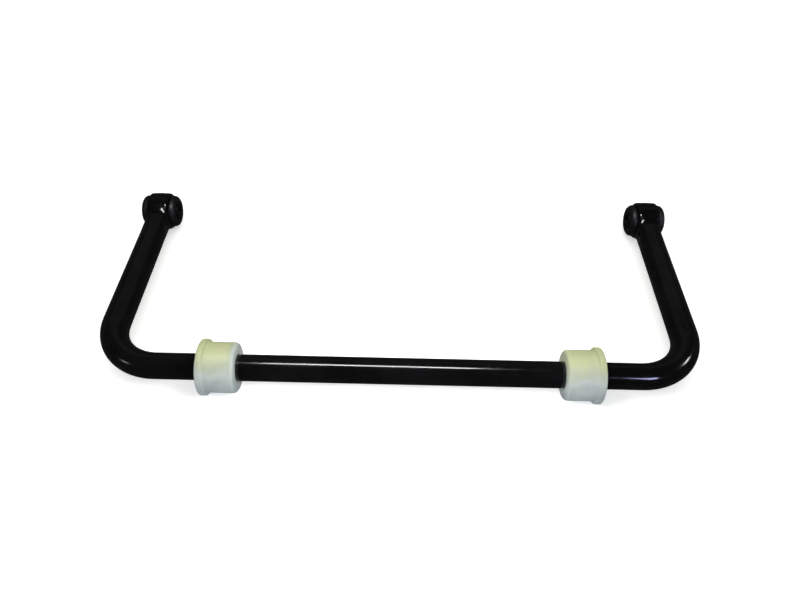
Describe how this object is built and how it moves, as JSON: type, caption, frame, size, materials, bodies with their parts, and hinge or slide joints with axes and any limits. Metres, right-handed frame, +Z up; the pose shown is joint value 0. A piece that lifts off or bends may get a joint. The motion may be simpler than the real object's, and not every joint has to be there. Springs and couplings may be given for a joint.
{
  "type": "sway bar",
  "caption": "Heavy-duty U-shaped sway bar: round black steel bar with a bonded rubber bushing in the forged eye of each arm and flanged nylon pivot bushings.",
  "frame": {"origin": "on the ground, under the middle of the part's box, with the part lying on its two nylon flanges and its two eyes", "axes": "+X along the bar's straight part to the right arm, +Y from the straight part towards the eyes, +Z up"},
  "size_m": [1.071, 0.4814, 0.095],
  "materials": {
    "black_enamel": "gloss black enamel over forged spring steel",
    "natural_nylon": "moulded natural nylon, satin",
    "black_rubber": "moulded rubber, matt",
    "coated_steel": "thin black coating on drawn steel",
    "phosphated_steel": "dark phosphate on cut steel tube"
  },
  "bodies": {
    "left_half": {"bar_left_half": "black_enamel", "left_eye_can": "coated_steel", "left_eye_rubber": "black_rubber"},
    "right_half": {"bar_right_half": "black_enamel", "right_eye_can": "coated_steel", "right_eye_rubber": "black_rubber"},
    "left_pivot": {"left_pivot_bushing": "natural_nylon"},
    "left_sleeve": {"left_inner_sleeve": "phosphated_steel"},
    "right_pivot": {"right_pivot_bushing": "natural_nylon"},
    "right_sleeve": {"right_inner_sleeve": "phosphated_steel"}
  },
  "joints": [
    {"name": "bar_twist", "type": "hinge", "parent": "left_half", "child": "right_half", "pos_m": [0, -0.19318, 0.0475], "axis": [1, 0, 0], "range_deg": [-12, 12], "stiffness_Nm_per_rad": 33000},
    {"name": "left_pivot_turn", "type": "hinge", "parent": "left_half", "child": "left_pivot", "pos_m": [-0.2975, -0.19318, 0.0475], "axis": [1, 0, 0], "continuous": true},
    {"name": "right_pivot_turn", "type": "hinge", "parent": "right_half", "child": "right_pivot", "pos_m": [0.306, -0.19318, 0.0475], "axis": [1, 0, 0], "continuous": true},
    {"name": "left_sleeve_twist", "type": "hinge", "parent": "left_half", "child": "left_sleeve", "pos_m": [-0.5, 0.20368, 0.037], "axis": [1, 0, 0], "range_deg": [-20, 20], "stiffness_Nm_per_rad": 170},
    {"name": "right_sleeve_twist", "type": "hinge", "parent": "right_half", "child": "right_sleeve", "pos_m": [0.5, 0.20368, 0.037], "axis": [1, 0, 0], "range_deg": [-20, 20], "stiffness_Nm_per_rad": 170}
  ]
}
